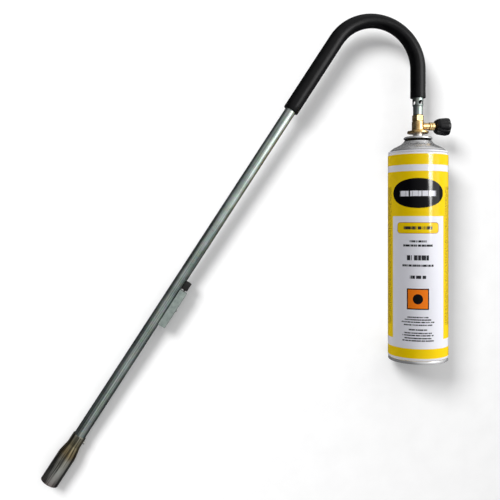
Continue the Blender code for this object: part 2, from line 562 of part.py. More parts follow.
TOOL = tool_frame()
CAN_AXIS = axis_empty("can_axis", TOOL, (0.0, 0.0, 0.0), (0.0, 1.0, 0.0), (1.0, 0.0, 0.0))
BRANCH_AXIS = axis_empty("branch_axis", TOOL, (0.0, BRANCH_HEIGHT, 0.0), (1.0, 0.0, 0.0), (0.0, 1.0, 0.0))
BEND_END = tube_path(LEG_TOP - MM, 0.0)[-1]
LANCE_DIRECTION = (-math.sin(HOOK_TURN), math.cos(HOOK_TURN), 0.0)
LANCE_SIDE = (-math.cos(HOOK_TURN), -math.sin(HOOK_TURN), 0.0)
LANCE_AXIS = axis_empty("lance_axis", TOOL, BEND_END, LANCE_DIRECTION, LANCE_SIDE)

cartridge(CAN_AXIS)
valve(CAN_AXIS, BRANCH_AXIS)
knob(BRANCH_AXIS)
SCREW_AXIS = lance_and_grip(TOOL, CAN_AXIS, LANCE_AXIS)
burner(LANCE_AXIS, SCREW_AXIS)
igniter(LANCE_AXIS)
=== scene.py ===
"""Looks of the hook-shaped gas torch: fine meshes, procedural materials, studio and camera."""
import json
import math

import bmesh
import bpy
from mathutils import Matrix, Vector

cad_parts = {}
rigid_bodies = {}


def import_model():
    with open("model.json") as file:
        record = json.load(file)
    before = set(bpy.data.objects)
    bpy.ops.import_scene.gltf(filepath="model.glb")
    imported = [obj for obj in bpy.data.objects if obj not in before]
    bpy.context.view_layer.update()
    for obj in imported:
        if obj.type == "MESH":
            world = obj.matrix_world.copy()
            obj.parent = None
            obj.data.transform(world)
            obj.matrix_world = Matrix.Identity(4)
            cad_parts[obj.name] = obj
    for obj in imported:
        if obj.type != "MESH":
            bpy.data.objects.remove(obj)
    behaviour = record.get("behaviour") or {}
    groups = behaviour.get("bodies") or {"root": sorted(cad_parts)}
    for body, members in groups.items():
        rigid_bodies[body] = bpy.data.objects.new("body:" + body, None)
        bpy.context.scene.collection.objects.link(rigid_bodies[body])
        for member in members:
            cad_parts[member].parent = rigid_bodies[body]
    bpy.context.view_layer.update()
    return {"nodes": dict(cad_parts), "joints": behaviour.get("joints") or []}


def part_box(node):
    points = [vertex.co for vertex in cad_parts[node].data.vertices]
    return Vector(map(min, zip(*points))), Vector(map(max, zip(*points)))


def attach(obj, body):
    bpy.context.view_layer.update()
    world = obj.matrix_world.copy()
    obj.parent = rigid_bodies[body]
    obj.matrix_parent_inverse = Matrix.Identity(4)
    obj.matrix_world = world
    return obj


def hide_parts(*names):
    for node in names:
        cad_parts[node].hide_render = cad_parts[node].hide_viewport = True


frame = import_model()

MM = 0.001
TURN = 2.0 * math.pi
GAP = 0.35 * MM

# The cartridge, measured from its base rim along its axis
CAN_RADIUS = 33.0 * MM
BASE_SEAM_TOP = 3.4 * MM
BODY_TOP = 226.5 * MM
NECK_RADIUS = 5.5 * MM
NECK_TOP = 253.4 * MM
SOCKET_TOP = 255.6 * MM
VALVE_TOP = 263.0 * MM
NUT_TOP = 269.8 * MM
NUT_CORNER_RADIUS = 6.8 * MM
PASSAGE_RADIUS = 1.15 * MM

# The tube: leg, hook, lance
TUBE_RADIUS = 6.0 * MM
TUBE_WALL = 1.0 * MM
SWAGE_RADIUS = 5.35 * MM
SWAGE_END = 280.0 * MM
AIR_HOLE_HEIGHT = 283.6 * MM
AIR_HOLE_RADIUS = 2.7 * MM
AIR_HOLE_ANGLE = math.radians(12.0)            # from the tool plane's normal, towards the knob
OUTER_SHARE = 0.502                            # of the tube's UV length, the part on its outer face
BORE_SHADE_MARK = 10.0                               # a UV length past the tube's own, which gives the air holes' walls the bore's painted shade
LEG_TOP = 320.7 * MM
HOOK_RADIUS = 51.0 * MM
HOOK_TURN = math.radians(147.0)
HOOK_STEPS = 48
LANCE_LENGTH = 543.5 * MM
SLEEVE_RADIUS = 8.1 * MM
SLEEVE_START = 289.0 * MM
SLEEVE_ON_LANCE = 93.0 * MM

# The burner, measured back from its mouth
BURNER_RADIUS = 9.15 * MM
BARREL_LENGTH = 31.5 * MM
CONE_LENGTH = 11.5 * MM
NECK_LENGTH = 11.0 * MM
BURNER_LENGTH = BARREL_LENGTH + CONE_LENGTH + NECK_LENGTH
TUBE_IN_BURNER = 12.0 * MM
SCREW_FROM_NECK_END = 5.0 * MM
SCREW_HOLE_RADIUS = 1.3 * MM

# The igniter, measured along the lance from the end of the bend
BRACKET_START = 314.5 * MM
BRACKET_LENGTH = 41.5 * MM
BRACKET_FOOT = 4.65 * MM
BRACKET_BACK = 13.0 * MM
BRACKET_HALF_WIDTH = 5.0 * MM
BRACKET_SHEET = 0.8 * MM
BUTTON_START = 303.6 * MM
BUTTON_LENGTH = 9.2 * MM
BUTTON_HALF_WIDTH = 3.8 * MM
PLUNGER_AXIS = 9.2 * MM
STEM_END = 325.0 * MM
LEAD_HOLE = 354.2 * MM

# Knob, along the branch
KNOB_START = 20.4 * MM
KNOB_END = 35.8 * MM
KNOB_LOBES = 6
KNOB_GROOVE = 0.10                             # depth of the grooves between the lobes, as a share of the radius
KNOB_SWELL = 1.03                              # how far the lobes stand out, as a share of the radius
KNOB_PLAIN_RADIUS = 6.0 * MM                   # inside this the knob is plain and round

# The label's middle faces this far round from the tool plane's normal, away from the knob
LABEL_ANGLE = math.radians(22.8)


def joint(name):
    """The frame's record of the joint with that name."""
    return next(item for item in frame["joints"] if item["name"] == name)


def axes(origin, z_axis, x_axis):
    """A matrix with its origin there, and its Z and X axes along the given directions."""
    z_axis = Vector(z_axis).normalized()
    x_axis = Vector(x_axis).normalized()
    turned_axes = Matrix((x_axis, z_axis.cross(x_axis), z_axis)).transposed().to_4x4()
    return Matrix.Translation(origin) @ turned_axes


KNOB_SIDE = Vector(joint("knob_turn")["axis"])
UP_CAN = -Vector(joint("cartridge_unscrew")["axis"])
CAN_POINT = Vector(joint("cartridge_unscrew")["pos_m"])
BASE_CENTRE = Vector((CAN_POINT.x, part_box("can_base")[0][1], CAN_POINT.z))
OUT = KNOB_SIDE.cross(UP_CAN)
TOOL = axes(BASE_CENTRE, OUT, KNOB_SIDE)
CAN = axes(BASE_CENTRE, UP_CAN, KNOB_SIDE)
BRANCH_HEIGHT = (Vector(joint("knob_turn")["pos_m"]) - BASE_CENTRE).dot(UP_CAN)
BRANCH = axes(BASE_CENTRE + UP_CAN * BRANCH_HEIGHT, KNOB_SIDE, UP_CAN)


def tube_path(start, on_lance):
    """Centre line in the tool plane, from that height on the leg to that length down the lance."""
    path = [Vector((0.0, start, 0.0))]
    for index in range(HOOK_STEPS + 1):
        angle = HOOK_TURN * index / HOOK_STEPS
        path.append(Vector((HOOK_RADIUS * (math.cos(angle) - 1.0), LEG_TOP + HOOK_RADIUS * math.sin(angle), 0.0)))
    heading = Vector((-math.sin(HOOK_TURN), math.cos(HOOK_TURN), 0.0))
    bend_end = path[-1]
    runs = 12
    path += [bend_end + heading * on_lance * step / runs for step in range(1, runs + 1)]
    return path


BEND_END = TOOL @ tube_path(SLEEVE_START, MM)[HOOK_STEPS + 1]
LANCE_DIRECTION = Vector(joint("igniter_press")["axis"])
LANCE = axes(BEND_END, LANCE_DIRECTION, OUT.cross(LANCE_DIRECTION))


def sideways(length):
    """A matrix at that length down the lance, whose Z points out to the side of the igniter."""
    return axes(LANCE @ Vector((0.0, 0.0, length)), LANCE.col[0].to_3d(), LANCE.col[1].to_3d())


SCREW = sideways(LANCE_LENGTH - BURNER_LENGTH + SCREW_FROM_NECK_END)


# ---------------------------------------------------------------- mesh helpers

def rounded(outline, radius, steps=4, closed=True):
    """The outline with an arc of up to that radius in place of each corner."""
    made = []
    count = len(outline)
    for index, here in enumerate(outline):
        here = Vector(here)
        if not closed and index in (0, count - 1):
            made.append(tuple(here))
            continue
        before = Vector(outline[index - 1]) - here
        after = Vector(outline[(index + 1) % count]) - here
        turn = math.pi - before.angle(after)
        if turn < math.radians(8.0):
            made.append(tuple(here))
            continue
        reach = min(radius * math.tan(turn / 2.0), 0.42 * before.length, 0.42 * after.length)
        first = here + before.normalized() * reach
        last = here + after.normalized() * reach
        for step in range(steps + 1):
            part = step / steps
            made.append(tuple(first.lerp(here, part).lerp(here.lerp(last, part), part)))
    return made


def link(name, mesh, matrix, material, angle=32.0):
    """A smooth object from the mesh, with edges sharper than the angle, in degrees, left crisp."""
    mesh.shade_smooth()
    mesh.set_sharp_from_angle(angle=math.radians(angle))
    obj = bpy.data.objects.new(name, mesh)
    bpy.context.scene.collection.objects.link(obj)
    obj.matrix_world = matrix
    if material:
        mesh.materials.append(material)
    return obj


def grid_mesh(name, rings, closed_rings, solid_ends):
    """A mesh from rings of points, each ring as long as the others, with a UV of (turn, length)."""
    count = len(rings[0])
    verts = [point for ring in rings for point in ring]
    faces = []
    uvs = []
    lengths = [0.0]
    for first, second in zip(rings, rings[1:]):
        lengths.append(lengths[-1] + (Vector(first[0]) - Vector(second[0])).length)
    pairs = list(zip(range(len(rings)), range(1, len(rings))))
    if closed_rings:
        pairs.append((len(rings) - 1, 0))
    for low, high in pairs:
        for side in range(count):
            after = (side + 1) % count
            faces.append((low * count + side, low * count + after, high * count + after, high * count + side))
            top = lengths[high] if high else lengths[-1]
            uvs += [(side / count, lengths[low]), ((side + 1) / count, lengths[low]),
                    ((side + 1) / count, top), (side / count, top)]
    if solid_ends:
        faces.append(tuple(reversed(range(count))))
        faces.append(tuple(range((len(rings) - 1) * count, len(rings) * count)))
        uvs += [(0.0, 0.0)] * (2 * count)
    mesh = bpy.data.meshes.new(name)
    mesh.from_pydata(verts, [], faces)
    layer = mesh.uv_layers.new(name="turn_length")
    for loop, uv in zip(layer.data, uvs):
        loop.uv = uv
    form = bmesh.new()
    form.from_mesh(mesh)
    bmesh.ops.remove_doubles(form, verts=form.verts, dist=0.000002)
    bmesh.ops.recalc_face_normals(form, faces=form.faces)
    form.to_mesh(mesh)
    form.free()
    return mesh


def turned(name, outline, matrix, material, sides=96, fillet=0.25 * MM, start=0.0, steps=4):
    """Turns an outline of (radius, height) about Z. The UV is (turn from start, height)."""
    closed = outline[0][0] > 0.0
    profile = rounded(outline, fillet, steps, closed)
    rings = []
    for radius, height in profile:
        ring = []
        for side in range(sides):
            angle = start + TURN * side / sides
            ring.append((radius * math.cos(angle), radius * math.sin(angle), height))
        rings.append(ring)
    mesh = grid_mesh(name, rings, closed, False)
    layer = mesh.uv_layers["turn_length"]
    for face in mesh.polygons:
        for loop in face.loop_indices:
            corner = mesh.vertices[mesh.loops[loop].vertex_index].co
            layer.data[loop].uv.y = corner.z
    return link(name, mesh, matrix, material)


def swept(name, path, widths, bore, matrix, material, sides=48):
    """A hollow round tube along a path in the matrix's XY plane, with a radius for each point."""
    outer = []
    inner = []
    across = Vector((0.0, 0.0, 1.0))
    for index, point in enumerate(path):
        before = path[max(index - 1, 0)]
        after = path[min(index + 1, len(path) - 1)]
        side = (after - before).normalized().cross(across)
        for rings, radius in ((outer, widths[index]), (inner, bore[index])):
            rings.append([tuple(point + side * radius * math.cos(TURN * step / sides)
                                + across * radius * math.sin(TURN * step / sides)) for step in range(sides)])
    mesh = grid_mesh(name, outer + inner[::-1], True, False)
    return link(name, mesh, matrix, material, 40.0)


def cutter(name, outline, matrix, sides=48, far=0.0):
    """A form to cut with. Its walls carry far as their UV length, when that is above zero."""
    obj = turned(name, outline, matrix, None, sides, 0.0)
    if far:
        for item in obj.data.uv_layers["turn_length"].data:
            item.uv.y = far
    return obj


def combine(obj, tool, operation="DIFFERENCE"):
    """Applies a Boolean between obj and tool, and removes the tool."""
    boolean = obj.modifiers.new("join", "BOOLEAN")
    boolean.operation = operation
    boolean.solver = "EXACT"
    boolean.object = tool
    bpy.context.view_layer.update()
    ready = obj.evaluated_get(bpy.context.evaluated_depsgraph_get())
    mesh = bpy.data.meshes.new_from_object(ready)
    obj.modifiers.clear()
    obj.data = mesh
    mesh.set_sharp_from_angle(angle=math.radians(35.0))
    bpy.data.objects.remove(tool)
    return obj


def drill(obj, name, radius, low, high, matrix, sides=48, far=0.0, operation="DIFFERENCE"):
    """Cuts a round hole about the matrix's Z from low to high, or with UNION adds a rod."""
    outline = [(0.0, high), (radius, high), (radius, low), (0.0, low)]
    return combine(obj, cutter(name, outline, matrix, sides, far), operation)


def bevel(obj, width, segments, angle):
    """Rounds the edges that turn by more than the angle, in degrees."""
    rounding = obj.modifiers.new("rounding", "BEVEL")
    rounding.width = width
    rounding.segments = segments
    rounding.limit_method = "ANGLE"
    rounding.angle_limit = math.radians(angle)
    rounding.harden_normals = False


def finished(obj, body, slot, *nodes):
    """Puts the piece on its body, in place of the CAD nodes. The slot argument is not used."""
    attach(obj, body)
    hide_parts(*nodes)


# ------------------------------------------------------------ material helpers

class Look:
    """A material with its Principled shader and short calls for the nodes in front of it."""

    def __init__(self, name, colour, roughness, metallic=0.0):
        self.material = bpy.data.materials.new(name)
        self.material.use_nodes = True
        self.tree = self.material.node_tree
        self.shader = self.tree.nodes["Principled BSDF"]
        self.set("Base Color", (*colour, 1.0))
        self.set("Roughness", roughness)
        self.set("Metallic", metallic)

    def set(self, socket, value):
        self.shader.inputs[socket].default_value = value

    def plug(self, source, target):
        self.tree.links.new(source, target)

    def math(self, operation, first, second=0.0, third=0.0):
        made = self.tree.nodes.new("ShaderNodeMath")
        made.operation = operation
        for socket, value in zip(made.inputs, (first, second, third)):
            if hasattr(value, "links"):
                self.plug(value, socket)
            else:
                socket.default_value = value
        return made.outputs[0]

    def heights(self):
        """The second part of the (turn, length) UV: the height on turned pieces, the length on swept ones."""
        made = self.tree.nodes.new("ShaderNodeSeparateXYZ")
        self.plug(self.place("UV"), made.inputs[0])
        return made.outputs[1]

    def between(self, value, low, high):
        """1 where value is between low and high."""
        above = self.math("GREATER_THAN", value, low)
        return self.math("MULTIPLY", above, self.math("LESS_THAN", value, high))

    def place(self, kind="Object", scale=(1.0, 1.0, 1.0)):
        """Object coordinates or the (turn, length) UV, scaled."""
        mapping = self.tree.nodes.new("ShaderNodeMapping")
        mapping.inputs["Scale"].default_value = scale
        if kind == "UV":
            source = self.tree.nodes.new("ShaderNodeUVMap")
            source.uv_map = "turn_length"
            self.plug(source.outputs[0], mapping.inputs[0])
        else:
            source = self.tree.nodes.new("ShaderNodeTexCoord")
            self.plug(source.outputs["Object"], mapping.inputs[0])
        return mapping.outputs[0]

    def noise(self, place, scale, detail=3.0, roughness=0.5):
        made = self.tree.nodes.new("ShaderNodeTexNoise")
        made.inputs["Scale"].default_value = scale
        made.inputs["Detail"].default_value = detail
        made.inputs["Roughness"].default_value = roughness
        self.plug(place, made.inputs["Vector"])
        return made.outputs["Fac"]

    def ramp(self, factor, stops):
        """A colour ramp over (position, colour) stops."""
        made = self.tree.nodes.new("ShaderNodeValToRGB")
        ramp = made.color_ramp
        while len(ramp.elements) < len(stops):
            ramp.elements.new(0.5)
        for element, (position, colour) in zip(ramp.elements, stops):
            element.position = position
            element.color = (*colour, 1.0)
        self.plug(factor, made.inputs["Fac"])
        return made.outputs["Color"]

    def mix(self, factor, first, second, blend="MIX"):
        made = self.tree.nodes.new("ShaderNodeMix")
        made.data_type = "RGBA"
        made.blend_type = blend
        colours = [socket for socket in made.inputs if socket.type == "RGBA"]
        for socket, value in zip([made.inputs[0]] + colours, (factor, first, second)):
            if hasattr(value, "links"):
                self.plug(value, socket)
            elif isinstance(value, tuple):
                socket.default_value = (*value, 1.0)
            else:
                socket.default_value = value
        return next(socket for socket in made.outputs if socket.type == "RGBA")

    def spread(self, factor, low, high):
        """factor, which runs from about 0.3 to 0.7, spread to low .. high."""
        made = self.tree.nodes.new("ShaderNodeMapRange")
        made.inputs["From Min"].default_value = 0.3
        made.inputs["From Max"].default_value = 0.7
        made.inputs["To Min"].default_value = low
        made.inputs["To Max"].default_value = high
        self.plug(factor, made.inputs["Value"])
        return made.outputs[0]

    def colour(self, source):
        self.plug(source, self.shader.inputs["Base Color"])

    def roughness(self, source):
        self.plug(source, self.shader.inputs["Roughness"])

    def bump(self, height, strength, distance):
        made = self.tree.nodes.new("ShaderNodeBump")
        made.inputs["Strength"].default_value = strength
        made.inputs["Distance"].default_value = distance
        self.plug(height, made.inputs["Height"])
        self.plug(made.outputs[0], self.shader.inputs["Normal"])


def galvanised(painted_shade_from):
    """Zinc-coated tube; past the given UV length, on the bore and the air holes' walls, it is near black with painted
    shade.
    """
    look = Look("galvanised_tube", (0.47, 0.50, 0.49), 0.3, 1.0)
    drawn = look.noise(look.place("UV", (34.0, 5.0, 1.0)), 1.0, 5.0, 0.7)
    blotch = look.noise(look.place("Object"), 45.0, 3.0, 0.55)
    spangle = look.tree.nodes.new("ShaderNodeTexVoronoi")
    spangle.inputs["Scale"].default_value = 380.0
    look.plug(look.place("Object"), spangle.inputs["Vector"])
    tone = look.ramp(drawn, [(0.38, (0.07, 0.09, 0.085)), (0.50, (0.33, 0.39, 0.365)), (0.62, (0.62, 0.69, 0.66))])
    tone = look.mix(0.35, tone, look.ramp(blotch, [(0.35, (0.20, 0.24, 0.22)), (0.65, (0.50, 0.56, 0.54))]))
    tone = look.mix(0.12, tone, spangle.outputs["Color"], "SOFT_LIGHT")
    # painted shade: the bore and the air holes' walls are coloured near black for the shade inside the tube
    inside = look.math("GREATER_THAN", look.heights(), painted_shade_from)
    look.colour(look.mix(inside, tone, (0.03, 0.032, 0.03)))
    look.roughness(look.spread(blotch, 0.24, 0.40))
    look.bump(drawn, 0.10, 0.0004)
    return look.material


TINPLATE_METALLIC = 0.72
LACQUER_TOP = 228.95 * MM
# painted shade: near-black bands of height, for the shade in the seam's groove and under the curl
SHOULDER_PAINTED_SHADE_BANDS = ((LACQUER_TOP, 229.65 * MM), (240.6 * MM, 242.6 * MM))
CUP_PAINTED_SHADE_BANDS = ((242.2 * MM, 243.3 * MM),)


def tinplate(name="bright_tinplate", painted_to=0.0, painted_shade_bands=()):
    """Bright tinplate with painted shade, near black, at the given bands of height, and white lacquer below the
    height painted_to.
    """
    look = Look(name, (0.66, 0.66, 0.66), 0.22, TINPLATE_METALLIC)
    turned_marks = look.noise(look.place("UV", (3.0, 2500.0, 1.0)), 1.0, 4.0, 0.6)
    blotch = look.noise(look.place("Object"), 90.0)
    bare = look.ramp(turned_marks, [(0.3, (0.62, 0.62, 0.63)), (0.7, (0.84, 0.84, 0.84))])
    height = look.heights()
    # painted shade: each band is coloured near black where the groove and the curl throw shade
    for low, high in painted_shade_bands:
        bare = look.mix(look.between(height, low, high), bare, (0.04, 0.04, 0.045))
    if painted_to:
        painted = look.math("LESS_THAN", height, painted_to)
        bare = look.mix(painted, bare, WHITE_INK)
        metallic = look.math("MULTIPLY_ADD", painted, -TINPLATE_METALLIC, TINPLATE_METALLIC)
        look.plug(metallic, look.shader.inputs["Metallic"])
    look.colour(bare)
    look.roughness(look.spread(blotch, 0.16, 0.30))
    look.bump(turned_marks, 0.05, 0.0003)
    return look.material


def brass(name="turned_brass", darker=1.0):
    look = Look(name, (0.83, 0.62, 0.30), 0.22, 1.0)
    marks = look.noise(look.place("UV", (2.0, 4200.0, 1.0)), 1.0, 3.0, 0.55)
    blotch = look.noise(look.place("Object"), 260.0, 3.0, 0.6)
    dark = tuple(part * darker for part in (0.55, 0.33, 0.12))
    bright = tuple(part * darker for part in (0.84, 0.62, 0.30))
    look.colour(look.ramp(blotch, [(0.3, dark), (0.6, bright)]))
    look.roughness(look.spread(blotch, 0.16, 0.34))
    look.bump(marks, 0.08, 0.0003)
    return look.material


def black_rubber():
    look = Look("black_sleeve_rubber", (0.006, 0.006, 0.007), 0.42)
    streak = look.noise(look.place("UV", (90.0, 14.0, 1.0)), 1.0, 3.0, 0.6)
    dust = look.noise(look.place("Object"), 130.0, 5.0, 0.65)
    look.colour(look.ramp(dust, [(0.35, (0.0012, 0.0012, 0.0015)), (0.75, (0.005, 0.005, 0.006))]))
    look.roughness(look.spread(streak, 0.15, 0.28))
    look.set("Specular IOR Level", 0.17)
    look.bump(streak, 0.30, 0.0005)
    return look.material


def moulded(name, colour, roughness, grain=2600.0):
    look = Look(name, colour, roughness)
    look.set("Specular IOR Level", 0.35)
    fine = look.noise(look.place("Object"), grain, 2.0)
    broad = look.noise(look.place("Object"), 220.0)
    look.colour(look.ramp(broad, [(0.3, tuple(part * 0.8 for part in colour)),
                                  (0.7, tuple(min(part * 1.25, 1.0) for part in colour))]))
    look.roughness(look.spread(broad, roughness - 0.06, roughness + 0.08))
    look.bump(fine, 0.12, 0.0003)
    return look.material


def burnt_steel():
    """Bare steel with the heat tint running from the neck to the mouth, and streaks along it."""
    look = Look("heat_tinted_steel", (0.36, 0.32, 0.28), 0.38, 1.0)
    blotch = look.noise(look.place("Object"), 110.0, 5.0, 0.62)
    from_neck = look.math("SUBTRACT", look.heights(), LANCE_LENGTH - BURNER_LENGTH)
    along = look.math("MULTIPLY_ADD", from_neck, 1.0 / BURNER_LENGTH, -0.09)
    along = look.math("MULTIPLY_ADD", blotch, 0.18, along)
    tint = look.ramp(along, [(0.00, (0.46, 0.45, 0.37)), (0.16, (0.42, 0.38, 0.25)), (0.36, (0.38, 0.30, 0.17)),
                             (0.52, (0.50, 0.49, 0.43)), (0.72, (0.56, 0.57, 0.54)), (0.90, (0.54, 0.52, 0.50)),
                             (1.00, (0.42, 0.35, 0.35))])
    scale = look.noise(look.place("UV", (17.0, 14.0, 1.0)), 1.0, 4.0, 0.62)
    look.colour(look.mix(0.85, tint, look.ramp(scale, [(0.44, (0.03, 0.03, 0.03)), (0.50, (0.36, 0.36, 0.34)),
                                                       (0.56, (0.80, 0.80, 0.78))]), "MULTIPLY"))
    look.roughness(look.spread(blotch, 0.28, 0.52))
    look.bump(scale, 0.15, 0.0003)
    return look.material


def zinc_sheet():
    look = Look("zinc_plated_sheet", (0.55, 0.60, 0.58), 0.40, 0.85)
    mottle = look.noise(look.place("Object"), 320.0, 4.0, 0.6)
    rolled = look.noise(look.place("Object", (1.0, 1.0, 0.06)), 900.0)
    look.colour(look.ramp(mottle, [(0.3, (0.23, 0.28, 0.26)), (0.7, (0.40, 0.46, 0.43))]))
    look.roughness(look.spread(mottle, 0.36, 0.52))
    look.bump(rolled, 0.08, 0.0002)
    return look.material


def plain_metal(name, colour, roughness):
    look = Look(name, colour, roughness, 1.0)
    blotch = look.noise(look.place("Object"), 500.0)
    look.colour(look.ramp(blotch, [(0.3, tuple(part * 0.85 for part in colour)), (0.7, colour)]))
    look.roughness(look.spread(blotch, roughness - 0.05, roughness + 0.1))
    return look.material


# ------------------------------------------------------------------- the label

WHITE_INK = (0.80, 0.80, 0.86)
YELLOW_INK = (0.90, 0.62, 0.001)
BLACK_INK = (0.002, 0.002, 0.003)
ORANGE_INK = (0.90, 0.20, 0.008)
PRINT_INK = (0.03, 0.03, 0.035)
PANEL_HALF_WIDTH = 30.9
YELLOW_BANDS = ((6.3, 16.6), (212.9, 224.4))
PANEL_TOP = 157.8
SIDES_BOTTOM = 26.0
MAIN_YELLOW_TOP = 206.0
BADGE = (0.0, 182.4, 30.3, 16.0)              # an oval: middle, middle height, half width, half height
BADGE_BAR = (182.0, 2.9, 20.0)                # height, half height, half length
PILL = (0.0, 145.3, 23.0, 5.4, 3.0)           # with the corner's radius last
PILL_BORDER = 0.6
SQUARE = (0.0, 69.6, 10.6, 10.0, 0.2)
SQUARE_BORDER = 1.25
SQUARE_DISC = 5.4
PILL_WORDS = (1.7, 15.5)                      # half height, half length
SIDE_PRINT_AWAY = (34.0, 46.0)                # from the label's middle, to both sides
SIDE_PRINT_UP = (40.0, 190.0)
SEAM_HALF_WIDTH = 1.6
# rows of short bars in place of the small print: height, half height, half length
PRINT_ROWS = ((131.0, 1.1, 9.7), (126.5, 1.15, 16.0), (113.5, 2.7, 11.7), (105.2, 1.15, 17.0), (92.9, 1.7, 8.6),
              (50.2, 0.7, 11.4), (47.6, 0.7, 14.3), (45.0, 0.7, 17.9), (42.0, 0.7, 15.5), (36.9, 0.75, 9.8),
              (33.4, 0.7, 15.0), (30.9, 0.7, 17.0), (27.9, 0.7, 14.6), (25.3, 0.7, 17.3))


def label():
    """The printed lacquer. across and up are millimetres from the label's middle and the base."""
    look = Look("printed_lacquer", YELLOW_INK, 0.14)
    look.set("Specular IOR Level", 0.12)
    separate = look.tree.nodes.new("ShaderNodeSeparateXYZ")
    look.plug(look.place("UV"), separate.inputs[0])
    circumference = TURN * CAN_RADIUS / MM
    across = look.math("MULTIPLY_ADD", separate.outputs[0], circumference, -circumference / 2.0)
    up = look.math("MULTIPLY", separate.outputs[1], 1.0 / MM)

    def either(first, second):
        return look.math("MAXIMUM", first, second)

    def rounded_box(middle, height, half_width, half_height, corner):
        """1 inside a box with round corners."""
        parts = []
        for value, centre, half in ((across, middle, half_width), (up, height, half_height)):
            away = look.math("ABSOLUTE", look.math("SUBTRACT", value, centre))
            out = look.math("MAXIMUM", look.math("SUBTRACT", away, half - corner), 0.0)
            parts.append(look.math("MULTIPLY", out, out))
        return look.math("LESS_THAN", look.math("ADD", *parts), corner * corner)

    def words(height, half_height, half_length):
        """A row of bars of uneven length, like print too small to read."""
        row = look.between(up, height - half_height, height + half_height)
        row = look.math("MULTIPLY", row, look.between(across, -half_length, half_length))
        place = look.tree.nodes.new("ShaderNodeCombineXYZ")
        look.plug(across, place.inputs[0])
        place.inputs[1].default_value = height * 7.3
        gaps = look.noise(place.outputs[0], 1.1 / half_height, 2.0, 0.7)
        return look.math("MULTIPLY", row, look.math("GREATER_THAN", gaps, 0.43))

    def oval(middle, height, half_width, half_height):
        parts = []
        for value, centre, half in ((across, middle, half_width), (up, height, half_height)):
            part = look.math("MULTIPLY_ADD", value, 1.0 / half, -centre / half)
            parts.append(look.math("MULTIPLY", part, part))
        return look.math("LESS_THAN", look.math("ADD", *parts), 1.0)

    away = look.math("ABSOLUTE", across)
    yellow = look.between(up, PANEL_TOP, MAIN_YELLOW_TOP)
    sides = look.math("MULTIPLY", look.between(up, SIDES_BOTTOM, MAIN_YELLOW_TOP),
                      look.math("GREATER_THAN", away, PANEL_HALF_WIDTH))
    yellow = either(yellow, sides)
    for low, high in YELLOW_BANDS:
        yellow = either(yellow, look.between(up, low, high))
    paint = look.mix(yellow, WHITE_INK, YELLOW_INK)
    middle, height, half_width, half_height, corner = PILL
    pill_edge = rounded_box(middle, height, half_width + PILL_BORDER, half_height + PILL_BORDER, corner + PILL_BORDER)
    paint = look.mix(pill_edge, paint, (0.42, 0.17, 0.02))
    paint = look.mix(rounded_box(*PILL), paint, YELLOW_INK)

    border = rounded_box(SQUARE[0], SQUARE[1], SQUARE[2] + SQUARE_BORDER, SQUARE[3] + SQUARE_BORDER, 0.4)
    paint = look.mix(either(border, oval(*BADGE)), paint, BLACK_INK)
    print_mask = words(PILL[1], *PILL_WORDS)
    for height, half_height, half_length in PRINT_ROWS:
        print_mask = either(print_mask, words(height, half_height, half_length))
    paint = look.mix(print_mask, paint, PRINT_INK)
    paint = look.mix(rounded_box(*SQUARE), paint, ORANGE_INK)
    paint = look.mix(oval(SQUARE[0], SQUARE[1], SQUARE_DISC, SQUARE_DISC), paint, BLACK_INK)
    paint = look.mix(words(*BADGE_BAR), paint, WHITE_INK)
    small = look.noise(look.place("UV", (circumference * 0.9, 800.0, 1.0)), 1.0, 2.0, 0.7)
    side_text = look.math("MULTIPLY", look.between(away, *SIDE_PRINT_AWAY), look.between(up, *SIDE_PRINT_UP))
    side_text = look.math("MULTIPLY", side_text, look.math("GREATER_THAN", small, 0.52))
    side_text = look.math("MULTIPLY", side_text, 0.85)
    paint = look.mix(side_text, paint, (0.14, 0.09, 0.01))
    seam = look.math("GREATER_THAN", away, circumference / 2.0 - SEAM_HALF_WIDTH)
    paint = look.mix(seam, paint, (0.45, 0.45, 0.45))
    look.colour(paint)

    wear = look.noise(look.place("Object"), 60.0, 4.0, 0.6)
    look.roughness(look.spread(wear, 0.10, 0.18))
    look.bump(look.noise(look.place("Object"), 900.0), 0.03, 0.0002)
    return look.material


# --------------------------------------------------------------------- pieces

